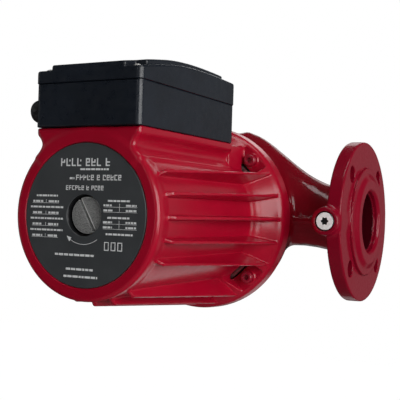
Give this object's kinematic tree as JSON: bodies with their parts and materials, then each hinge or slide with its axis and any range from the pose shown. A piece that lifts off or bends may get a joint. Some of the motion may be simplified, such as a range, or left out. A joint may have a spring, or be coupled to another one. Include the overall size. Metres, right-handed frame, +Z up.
{
  "type": "circulator pump",
  "caption": "In-line wet-rotor circulator pump with two flanged ports, ribbed motor housing, terminal box with cable gland, vent plug, and a turning shaft with impeller.",
  "frame": {"origin": "the point where the pipe axis and the motor axis cross", "axes": "+X along the pipe axis from the inlet flange to the outlet flange, -Y along the motor axis to the motor's front, +Z up through the terminal box"},
  "size_m": [0.28, 0.3055, 0.1986],
  "materials": {
    "cast_paint": "semi-gloss dark red paint on rough cast iron",
    "motor_paint": "glossy red paint on die-cast aluminium",
    "screw_paint": "red paint over steel socket-head screws",
    "name_plate": "satin dark grey printed plate",
    "zinc_steel": "bright zinc plating",
    "vent_metal": "brushed nickel-plated metal",
    "nickel_screw": "bright nickel plating",
    "steel": "machined steel",
    "stainless": "stainless sheet, satin",
    "lamination": "stacked electrical sheet",
    "winding": "enamelled copper wire, impregnated",
    "bronze": "machined bronze",
    "carbon": "carbon bearing material",
    "rubber": "EPDM rubber",
    "box_plastic": "satin-gloss moulded black plastic",
    "gland_plastic": "black polyamide",
    "block_plastic": "light grey polyamide",
    "sleeving": "glass-silk sleeving"
  },
  "bodies": {
    "pump": {"pump_housing": "cast_paint", "wear_ring": "bronze", "housing_gasket": "rubber", "gauge_plug_outlet": "zinc_steel", "gauge_plug_inlet": "zinc_steel", "motor_housing": "motor_paint", "name_plate": "name_plate", "motor_screw_1": "screw_paint", "motor_screw_2": "screw_paint", "motor_screw_3": "screw_paint", "motor_screw_4": "screw_paint", "stator_can": "stainless", "front_bearing_holder": "bronze", "front_bearing": "carbon", "rear_bearing": "carbon", "bearing_plate": "stainless", "stator_core": "lamination", "winding_front": "winding", "winding_rear": "winding", "terminal_box": "box_plastic", "box_screw_1": "steel", "box_screw_2": "steel", "terminal_block": "block_plastic", "terminal_screw_1": "nickel_screw", "terminal_screw_2": "nickel_screw", "terminal_screw_3": "nickel_screw", "terminal_screw_4": "nickel_screw", "terminal_screw_5": "nickel_screw", "terminal_screw_6": "nickel_screw", "lead_sleeve": "sleeving", "gland_body": "gland_plastic", "gland_locknut": "gland_plastic", "gland_nut": "gland_plastic", "gland_seal": "rubber"},
    "rotor": {"rotor_core": "stainless", "shaft": "steel", "thrust_ring": "carbon", "impeller": "stainless", "impeller_nut": "bronze"},
    "vent_seal": {"vent_o_ring": "rubber"},
    "vent_plug": {"vent_plug": "vent_metal"},
    "lid": {"box_lid": "box_plastic", "lid_seal": "rubber", "lid_screw_1": "nickel_screw", "lid_screw_2": "nickel_screw", "lid_screw_3": "nickel_screw", "lid_screw_4": "nickel_screw"}
  },
  "joints": [
    {"name": "rotor_spin", "type": "hinge", "parent": "pump", "child": "rotor", "pos_m": [0, -0.1, 0], "axis": [0, 1, 0], "continuous": true},
    {"name": "vent_travel", "type": "slide", "parent": "pump", "child": "vent_seal", "axis": [0, -1, 0], "range_m": [0, 0.003]},
    {"name": "vent_turn", "type": "hinge", "parent": "vent_seal", "child": "vent_plug", "pos_m": [0, -0.2305, 0], "axis": [0, -1, 0], "range_deg": [0, 720]},
    {"name": "lid_lift", "type": "slide", "parent": "pump", "child": "lid", "axis": [0, 0, 1], "range_m": [0, 0.06]}
  ],
  "couplings": [
    {"joint": "vent_travel", "follows": "vent_turn", "m_per_rad": 0.00023873}
  ]
}
